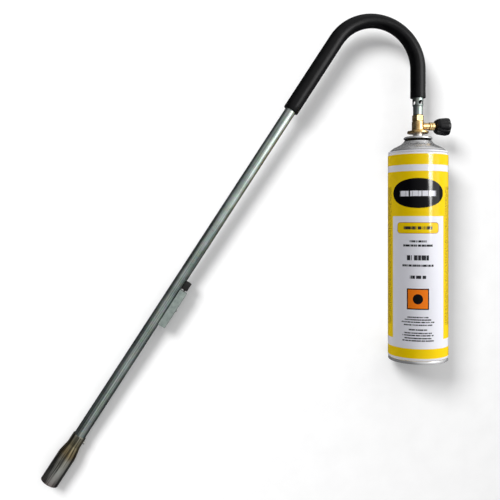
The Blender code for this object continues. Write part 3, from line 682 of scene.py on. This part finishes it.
def cartridge():
    metal = tinplate()
    # OUT is along -Y in the CAN matrix; the UV's turn starts opposite the label's middle
    label_back = math.pi / 2.0 - LABEL_ANGLE
    body = turned("can_shell", [
        (CAN_RADIUS - 1.3 * MM, BODY_TOP), (CAN_RADIUS - 0.5 * MM, BODY_TOP), (CAN_RADIUS, BODY_TOP - 2.2 * MM),
        (CAN_RADIUS, BASE_SEAM_TOP + 2.4 * MM), (CAN_RADIUS - 0.5 * MM, BASE_SEAM_TOP + GAP),
        (CAN_RADIUS - 1.4 * MM, BASE_SEAM_TOP + GAP), (CAN_RADIUS - 1.0 * MM, BASE_SEAM_TOP + 2.4 * MM),
        (CAN_RADIUS - 1.0 * MM, BODY_TOP - 2.2 * MM),
    ], CAN, label(), 160, 0.8 * MM, label_back)
    finished(body, "cartridge", "litho_paint", "can_body")
    body.visible_diffuse = False               # keeps its yellow off the white floor
    seam = BODY_TOP + GAP
    dome = turned("can_shoulder", [
        (13.0 * MM, 242.35 * MM), (14.6 * MM, 241.7 * MM), (16.4 * MM, 239.4 * MM), (18.8 * MM, 237.2 * MM),
        (22.4 * MM, 235.3 * MM), (26.6 * MM, 233.3 * MM), (29.4 * MM, 231.2 * MM), (30.9 * MM, 229.4 * MM),
        (31.2 * MM, 227.9 * MM), (31.5 * MM, 228.9 * MM), (32.6 * MM, 228.9 * MM), (32.6 * MM, seam),
        (29.9 * MM, seam), (29.6 * MM, 229.4 * MM), (26.6 * MM, 232.2 * MM), (21.0 * MM, 234.8 * MM),
        (16.6 * MM, 237.8 * MM), (13.8 * MM, 240.8 * MM), (12.85 * MM, 241.4 * MM),
    ], CAN, tinplate("shoulder_tinplate", LACQUER_TOP, SHOULDER_PAINTED_SHADE_BANDS), 160, 0.5 * MM)
    finished(dome, "cartridge", "tinplate", "can_dome")
    base = turned("can_bottom", [
        (0.0, 13.0 * MM), (10.0 * MM, 12.2 * MM), (20.0 * MM, 9.4 * MM), (27.0 * MM, 5.8 * MM),
        (29.4 * MM, BASE_SEAM_TOP), (32.6 * MM, BASE_SEAM_TOP), (32.6 * MM, 0.0), (30.2 * MM, 0.0),
        (28.9 * MM, 2.4 * MM), (26.0 * MM, 5.0 * MM), (19.6 * MM, 8.2 * MM), (9.9 * MM, 11.0 * MM), (0.0, 11.8 * MM),
    ], CAN, metal, 128, 0.7 * MM)
    finished(base, "cartridge", "tinplate", "can_base")
    cup = turned("valve_cup_pressing", [
        (2.4 * MM, NECK_TOP), (NECK_RADIUS, NECK_TOP), (NECK_RADIUS, 238.0 * MM), (7.0 * MM, 237.2 * MM),
        (10.6 * MM, 237.2 * MM), (11.8 * MM, 238.6 * MM), (11.8 * MM, 244.4 * MM), (13.0 * MM, 245.6 * MM),
        (14.6 * MM, 245.6 * MM), (15.7 * MM, 244.6 * MM), (15.7 * MM, 243.4 * MM), (14.6 * MM, 242.8 * MM),
        (12.45 * MM, 242.7 * MM), (12.45 * MM, 237.4 * MM), (11.2 * MM, 236.4 * MM), (5.8 * MM, 236.4 * MM),
        (4.7 * MM, 237.6 * MM), (4.7 * MM, NECK_TOP - 0.8 * MM), (2.4 * MM, NECK_TOP - 0.8 * MM),
    ], CAN, tinplate("cup_tinplate", 0.0, CUP_PAINTED_SHADE_BANDS), 96, 0.8 * MM)
    finished(cup, "cartridge", "tinplate", "valve_cup")


def valve():
    metal = brass()
    body = turned("valve_casting", [
        (0.0, VALVE_TOP), (6.7 * MM, VALVE_TOP), (6.7 * MM, 253.6 * MM), (7.8 * MM, 252.7 * MM),
        (11.4 * MM, 252.2 * MM), (11.75 * MM, 251.6 * MM), (11.75 * MM, 250.2 * MM), (11.2 * MM, 249.6 * MM),
        (0.0, 249.6 * MM),
    ], CAN, metal, 72, 0.5 * MM)
    branch = turned("branch_form", [
        (0.0, 12.5 * MM), (3.7 * MM, 12.5 * MM), (3.85 * MM, 12.2 * MM), (3.85 * MM, 7.0 * MM),
        (4.5 * MM, 2.0 * MM), (0.0, 2.0 * MM),
    ], BRANCH, metal, 60, 0.25 * MM)
    combine(body, branch, "UNION")
    drill(body, "socket_form", NECK_RADIUS + GAP, 247.0 * MM, SOCKET_TOP, CAN)
    drill(body, "bore_form", 3.05 * MM, 6.4 * MM, 14.0 * MM, BRANCH)
    drill(body, "seat_form", 1.3 * MM, 0.4 * MM, 7.0 * MM, BRANCH)
    drill(body, "passage_form", PASSAGE_RADIUS, 254.0 * MM, 264.0 * MM, CAN)
    finished(body, "torch", "brass", "valve_body")

    gland = turned("gland_nut_turned", [
        (2.25 * MM, 19.2 * MM), (4.1 * MM, 19.2 * MM), (4.5 * MM, 18.7 * MM), (4.5 * MM, 15.6 * MM),
        (4.15 * MM, 15.3 * MM), (4.5 * MM, 15.0 * MM), (4.5 * MM, 13.3 * MM), (4.1 * MM, 12.9 * MM),
        (2.25 * MM, 12.9 * MM),
    ], BRANCH, metal, 60, 0.2 * MM)
    finished(gland, "torch", "brass", "gland_nut")

    bottom = VALVE_TOP + GAP
    nut = turned("jet_nut_hexagon", [
        (0.0, NUT_TOP), (NUT_CORNER_RADIUS, NUT_TOP), (NUT_CORNER_RADIUS, bottom), (0.0, bottom),
    ], CAN, brass("nut_brass", 1.04), 6, 0.0)
    chamfer = turned("chamfer_form", [
        (0.0, NUT_TOP + 0.3 * MM), (5.3 * MM, NUT_TOP + 0.3 * MM), (7.6 * MM, NUT_TOP - 1.3 * MM),
        (7.6 * MM, bottom + 1.0 * MM), (5.6 * MM, bottom - 0.2 * MM), (0.0, bottom - 0.2 * MM),
    ], CAN, None, 72, 0.0)
    combine(nut, chamfer, "INTERSECT")
    drill(nut, "spigot_form", 4.0 * MM, NUT_TOP - MM, 279.0 * MM, CAN, operation="UNION")
    drill(nut, "jet_seat_form", 2.9 * MM, 274.0 * MM, 280.0 * MM, CAN)
    drill(nut, "nut_passage_form", PASSAGE_RADIUS, 262.0 * MM, 275.0 * MM, CAN)
    bevel(nut, 0.18 * MM, 2, 25.0)
    finished(nut, "torch", "brass", "jet_nut")


def knob():
    """A knob with six rounded lobes, a cone at its inner end and a screw recess."""
    sides = 30 * KNOB_LOBES
    profile = rounded([
        (2.25 * MM, KNOB_START), (6.9 * MM, KNOB_START), (8.9 * MM, KNOB_START + 3.6 * MM),
        (9.9 * MM, KNOB_END - 3.0 * MM), (9.6 * MM, KNOB_END), (3.9 * MM, KNOB_END), (3.5 * MM, KNOB_END - 0.4 * MM),
        (3.5 * MM, 33.1 * MM), (2.25 * MM, 33.1 * MM),
    ], 1.6 * MM, 6)
    rings = []
    for radius, height in profile:
        depth = KNOB_GROOVE if radius > KNOB_PLAIN_RADIUS else 0.0
        ring = []
        for side in range(sides):
            angle = TURN * side / sides
            off_groove = abs(math.sin(KNOB_LOBES * angle / 2.0))
            width = radius * (KNOB_SWELL - depth * (1.0 - off_groove ** 0.7))
            ring.append((width * math.cos(angle), width * math.sin(angle), height))
        rings.append(ring)
    mesh = grid_mesh("knob_moulding", rings, True, False)
    obj = link("knob_moulding", mesh, BRANCH, moulded("knob_plastic", (0.002, 0.002, 0.003), 0.22), 50.0)
    finished(obj, "knob", "black_plastic", "control_knob")


def lance():
    on_lance = LANCE_LENGTH - BURNER_LENGTH + TUBE_IN_BURNER
    neck = [Vector((0.0, NUT_TOP + GAP + height, 0.0)) for height in (0.0, 0.35 * MM, 8.8 * MM)]
    widths = [SWAGE_RADIUS - 0.3 * MM, SWAGE_RADIUS, SWAGE_RADIUS]
    swell_steps = 5
    for step in range(1, swell_steps + 1):
        part = step / swell_steps
        neck.append(Vector((0.0, SWAGE_END - 1.0 * MM + 1.8 * MM * part, 0.0)))
        widths.append(SWAGE_RADIUS + (TUBE_RADIUS - SWAGE_RADIUS) * (0.5 - 0.5 * math.cos(math.pi * part)))
    path = neck + tube_path(AIR_HOLE_HEIGHT, on_lance)
    widths += [TUBE_RADIUS] * (len(path) - len(neck))
    bore = [width - TUBE_WALL for width in widths]
    bore[0] = SWAGE_RADIUS - TUBE_WALL
    tube = swept("lance_steel", path, widths, bore, TOOL, None)
    longest = max(item.uv.y for item in tube.data.uv_layers["turn_length"].data)
    tube.data.materials.append(galvanised(longest * OUTER_SHARE))
    for index in range(2):
        turn = AIR_HOLE_ANGLE + index * math.pi / 2.0
        direction = KNOB_SIDE * math.sin(turn) + OUT * math.cos(turn)
        across = axes(BASE_CENTRE + UP_CAN * AIR_HOLE_HEIGHT, direction, UP_CAN)
        drill(tube, "air_hole_form", AIR_HOLE_RADIUS, -9.0 * MM, 9.0 * MM, across, 40, BORE_SHADE_MARK)
    drill(tube, "lead_hole_form", 1.4 * MM, 2.0 * MM, 9.0 * MM, sideways(LEAD_HOLE), 24)
    drill(tube, "screw_hole_form", SCREW_HOLE_RADIUS, 3.0 * MM, 9.0 * MM, SCREW, 24)
    finished(tube, "torch", "galvanised_steel", "lance_tube")

    path = [Vector((0.0, SLEEVE_START + height, 0.0)) for height in (0.0, 0.25 * MM, 0.8 * MM, 5.0 * MM, 9.0 * MM)]
    route = tube_path(SLEEVE_START + 12.0 * MM, SLEEVE_ON_LANCE)
    heading = (route[-1] - route[-2]).normalized()
    path += route[:-1] + [route[-1] - heading * back for back in (0.7 * MM, 0.2 * MM, 0.0)]
    flare = 0.45 * MM
    widths = [SLEEVE_RADIUS + flare - 0.5 * MM, SLEEVE_RADIUS + flare - 0.12 * MM, SLEEVE_RADIUS + flare,
              SLEEVE_RADIUS + flare * 0.7, SLEEVE_RADIUS + flare * 0.5]
    body = len(path) - len(widths) - 3
    for index in range(body):
        over_arch = math.sin(math.pi * min(index / (0.8 * body), 1.0)) ** 2
        widths.append(SLEEVE_RADIUS + (0.3 - 0.7 * over_arch) * MM)
    widths += [SLEEVE_RADIUS + 0.3 * MM, SLEEVE_RADIUS + 0.15 * MM, SLEEVE_RADIUS - 0.2 * MM]
    sleeve = swept("grip_rubber", path, widths, [TUBE_RADIUS + 0.12 * MM] * len(path), TOOL, black_rubber(), 64)
    finished(sleeve, "torch", "black_rubber", "grip_sleeve")


def burner():
    mouth = LANCE_LENGTH
    barrel = mouth - BARREL_LENGTH
    cone = barrel - CONE_LENGTH
    neck = cone - NECK_LENGTH
    inside = BURNER_RADIUS - 0.7 * MM
    cup = turned("burner_pressing", [
        (inside, mouth), (BURNER_RADIUS, mouth), (BURNER_RADIUS, barrel + 0.5 * MM), (8.75 * MM, barrel - 2.6 * MM),
        (7.3 * MM, cone + 1.8 * MM), (6.9 * MM, cone), (6.9 * MM, neck + 0.6 * MM), (6.65 * MM, neck),
        (6.25 * MM, neck), (6.25 * MM, cone), (6.6 * MM, cone + 1.9 * MM), (8.05 * MM, barrel - 2.4 * MM),
        (inside, barrel + 0.4 * MM),
    ], LANCE, burnt_steel(), 96, 1.4 * MM, 0.0, 6)
    drill(cup, "cup_hole_form", SCREW_HOLE_RADIUS, 3.0 * MM, 9.0 * MM, SCREW, 24)
    finished(cup, "torch", "heat_tinted_steel", "burner_cup")

    zinc = plain_metal("screw_zinc", (0.62, 0.62, 0.58), 0.3)
    screw = turned("burner_screw_turned", [
        (0.0, 8.6 * MM), (1.1 * MM, 8.45 * MM), (1.6 * MM, 7.9 * MM), (1.6 * MM, 7.25 * MM), (0.95 * MM, 7.25 * MM),
        (0.95 * MM, 5.3 * MM), (0.0, 5.3 * MM),
    ], SCREW, zinc, 40, 0.15 * MM)
    slot = box_mesh("slot_form", Vector((-0.225, -2.0, 8.05)) * MM, Vector((0.225, 2.0, 9.25)) * MM)
    combine(screw, link("slot_form", slot, SCREW, None))
    finished(screw, "torch", "zinc_sheet", "burner_screw")


def box_mesh(name, low, high, edge=0.0):
    """A box between two corners, with its edges rounded by that much."""
    mesh = bpy.data.meshes.new(name)
    form = bmesh.new()
    bmesh.ops.create_cube(form, size=1.0)
    bmesh.ops.scale(form, vec=high - low, verts=form.verts)
    bmesh.ops.translate(form, vec=(high + low) / 2.0, verts=form.verts)
    if edge:
        bmesh.ops.bevel(form, geom=form.edges[:], offset=edge, segments=4, affect="EDGES", profile=0.5)
    form.to_mesh(mesh)
    form.free()
    return mesh


def channel_outline():
    """The bracket's cross-section, (distance from the lance, width), as one closed loop of sheet."""
    wide = BRACKET_HALF_WIDTH
    thin = BRACKET_HALF_WIDTH - BRACKET_SHEET
    inner_back = BRACKET_BACK - BRACKET_SHEET
    outer = rounded([(BRACKET_FOOT, -wide), (BRACKET_BACK, -wide), (BRACKET_BACK, wide), (BRACKET_FOOT, wide)],
                    1.5 * MM, 6, False)
    inner = rounded([(BRACKET_FOOT, thin), (inner_back, thin), (inner_back, -thin), (BRACKET_FOOT, -thin)],
                    0.7 * MM, 6, False)
    return outer + inner


def igniter():
    zinc = zinc_sheet()
    outline = channel_outline()
    end = BRACKET_START + BRACKET_LENGTH
    rings = [[(x, y, height) for x, y in outline] for height in (BRACKET_START, end)]
    mesh = grid_mesh("bracket_channel", rings, False, True)
    channel = link("bracket_channel", mesh, LANCE, zinc, 40.0)
    rivet_axis = sideways((BRACKET_START + end) / 2.0)
    drill(channel, "rivet_hole_form", 1.1 * MM, 11.0 * MM, 15.0 * MM, rivet_axis, 32)
    bevel(channel, 0.12 * MM, 2, 50.0)
    finished(channel, "torch", "zinc_sheet", "igniter_bracket")
    rivet = turned("bracket_rivet_head", [
        (0.0, 14.3 * MM), (0.9 * MM, 14.15 * MM), (1.5 * MM, 13.6 * MM), (1.5 * MM, 13.35 * MM),
        (0.75 * MM, 13.35 * MM),
        (0.75 * MM, 11.1 * MM), (0.0, 11.1 * MM),
    ], rivet_axis, plain_metal("rivet_steel", (0.66, 0.66, 0.64), 0.28), 40, 0.3 * MM)
    finished(rivet, "torch", "zinc_sheet", "bracket_rivet")

    plastic = moulded("button_plastic", (0.004, 0.004, 0.004), 0.36)
    back = BRACKET_BACK - BRACKET_SHEET - GAP
    low = Vector((BRACKET_FOOT + 0.3 * MM, -BUTTON_HALF_WIDTH, BUTTON_START))
    high = Vector((back, BUTTON_HALF_WIDTH, BUTTON_START + BUTTON_LENGTH))
    button = link("button_cap", box_mesh("button_cap", low, high, 0.8 * MM), LANCE, plastic, 40.0)
    drill(button, "saddle_form", TUBE_RADIUS + GAP, 290.0 * MM, 330.0 * MM, LANCE, 64)
    for index in range(3):
        height = BUTTON_START + (2.2 + 2.0 * index) * MM
        groove = turned("groove_form", [
            (back + 1.0 * MM, height + 0.35 * MM), (back + 1.4 * MM, height), (back + 1.0 * MM, height - 0.35 * MM),
            (back - 0.35 * MM, height),
        ], LANCE, None, 64, 0.0)
        combine(button, groove)
    stem = axes(LANCE @ Vector((PLUNGER_AXIS, 0.0, 0.0)), LANCE.col[2].to_3d(), LANCE.col[0].to_3d())
    stem_start = BUTTON_START + BUTTON_LENGTH - MM
    drill(button, "stem_form", 0.8 * MM, stem_start, STEM_END, stem, 24, operation="UNION")
    finished(button, "igniter_button", "black_plastic", "igniter_button")


def inner_pieces():
    """Materials for the CAD solids that stay as they are."""
    steel = plain_metal("drawn_wire", (0.50, 0.50, 0.52), 0.3)
    inner_brass = plain_metal("inner_brass", (0.80, 0.60, 0.30), 0.3)
    rubber = moulded("seal_rubber", (0.035, 0.035, 0.035), 0.65)
    white = moulded("white_acetal", (0.80, 0.80, 0.78), 0.45)
    looks = {
        "knob_screw": steel, "igniter_spring": steel, "cartridge_valve_spring": steel,
        "spark_electrode": plain_metal("electrode_steel", (0.38, 0.34, 0.32), 0.4),
        "needle_spindle": inner_brass, "inlet_pin": inner_brass, "gas_jet": inner_brass,
        "spindle_packing": rubber, "cartridge_gasket": rubber, "cartridge_seal": rubber,
        "cartridge_valve_housing": white, "cartridge_valve_stem": white,
        "igniter_body": moulded("igniter_plastic", (0.02, 0.02, 0.022), 0.42),
        "ignition_lead": moulded("lead_sheath", (0.12, 0.015, 0.012), 0.5),
        "electrode_insulator": moulded("alumina", (0.80, 0.78, 0.73), 0.3),
        "flame_holder": plain_metal("flame_holder_steel", (0.28, 0.25, 0.24), 0.5),
    }
    for name, look in looks.items():
        node = frame["nodes"][name]
        node.data.materials.clear()
        node.data.materials.append(look)


# --------------------------------------------------------------------- studio

BRIGHT_SIDE = (0.42, 0.44, 0.62)              # the surround is brightest this way
# the wide streak high on the cartridge and the narrow one below: name, place along Y, size, power
GLOSS_LAMPS = (("gloss_softbox", 0.45, (0.66, 0.36), 58.0), ("gloss_strip", 0.06, (0.14, 0.17), 3.6))


def studio():
    """A white floor, a grey surround that is brighter above, to the right and beyond, and four softboxes."""
    floor_mesh = bpy.data.meshes.new("floor")
    form = bmesh.new()
    bmesh.ops.create_grid(form, x_segments=1, y_segments=1, size=6.0)
    form.to_mesh(floor_mesh)
    form.free()
    look = Look("floor_paper", (0.93, 0.93, 0.93), 0.9)
    fibre = look.noise(look.place("Object"), 40.0)
    look.colour(look.ramp(fibre, [(0.3, (0.92, 0.92, 0.92)), (0.7, (0.95, 0.95, 0.95))]))
    floor = bpy.data.objects.new("floor", floor_mesh)
    floor_mesh.materials.append(look.material)
    floor.visible_glossy = False
    floor_only = bpy.data.collections.new("floor_only")
    floor_only.objects.link(floor)
    bpy.context.scene.collection.children.link(floor_only)

    world = bpy.data.worlds.new("studio")
    world.use_nodes = True
    bpy.context.scene.world = world
    tree = world.node_tree
    background = tree.nodes["Background"]
    place = tree.nodes.new("ShaderNodeTexCoord")
    weight = tree.nodes.new("ShaderNodeVectorMath")
    weight.operation = "DOT_PRODUCT"
    weight.inputs[1].default_value = BRIGHT_SIDE
    ramp = tree.nodes.new("ShaderNodeValToRGB")
    tree.links.new(place.outputs["Generated"], weight.inputs[0])
    tree.links.new(weight.outputs["Value"], ramp.inputs[0])
    tree.links.new(ramp.outputs[0], background.inputs[0])
    ramp.color_ramp.elements[0].position = 0.0
    ramp.color_ramp.elements[0].color = (0.09, 0.09, 0.095, 1.0)
    ramp.color_ramp.elements[1].position = 0.66
    ramp.color_ramp.elements[1].color = (1.0, 1.0, 1.0, 1.0)
    background.inputs["Strength"].default_value = 0.9

    gloss = []
    for name, middle, size, power in GLOSS_LAMPS:
        lamp = softbox(name, (0.66, middle, 1.25), (0.18, 0.05, 0.03), size, power)
        lamp.visible_diffuse = False
        gloss.append(lamp)
    right = softbox("right_lamp", (1.1, 0.35, 1.15), (0.1, 0.0, 0.0), (1.1, 1.1), 15.0)
    shadow = softbox("left_lamp", (-0.95, 0.85, 1.30), (0.0, 0.0, 0.0), (0.62, 0.62), 30.0)
    shadow.visible_glossy = False
    shadow.light_linking.receiver_collection = floor_only
    return gloss, right


def aim_lights(gloss, right):
    """The gloss lamps light only the printed can, and the right lamp everything but the floor."""
    can_only = bpy.data.collections.new("can_only")
    can_only.objects.link(bpy.data.objects["can_shell"])
    for lamp in gloss:
        lamp.light_linking.receiver_collection = can_only
    torch_only = bpy.data.collections.new("torch_only")
    for obj in bpy.context.scene.objects:
        if obj.type == "MESH" and obj.name != "floor":
            torch_only.objects.link(obj)
    right.light_linking.receiver_collection = torch_only


def softbox(name, place, target, size, power):
    lamp = bpy.data.lights.new(name, "AREA")
    lamp.shape = "RECTANGLE"
    lamp.size, lamp.size_y = size
    lamp.energy = power
    obj = bpy.data.objects.new(name, lamp)
    bpy.context.scene.collection.objects.link(obj)
    away = Vector(place) - Vector(target)
    obj.matrix_world = axes(place, away, Vector((0.0, 1.0, 0.0)).cross(away).cross(away))
    return obj


def camera():
    """The camera stands to the left of the cartridge and looks down, turned a little to the right."""
    yaw = math.radians(14.508)
    focal_share = 1.2878                       # focal length over the picture's width
    from_base = Vector((-324.1, 153.7, 655.1)) * MM
    bpy.context.scene.view_settings.view_transform = "Standard"
    data = bpy.data.cameras.new("camera")
    data.sensor_width = 36.0
    data.lens = focal_share * data.sensor_width
    data.shift_x = -0.0664
    data.shift_y = -0.06
    data.clip_start = 0.01
    obj = bpy.data.objects.new("camera", data)
    bpy.context.scene.collection.objects.link(obj)
    obj.location = BASE_CENTRE + from_base
    obj.rotation_euler = (0.0, -yaw, 0.0)
    bpy.context.scene.camera = obj


camera()
LAMPS = studio()
cartridge()
valve()
knob()
lance()
burner()
igniter()
inner_pieces()
aim_lights(*LAMPS)
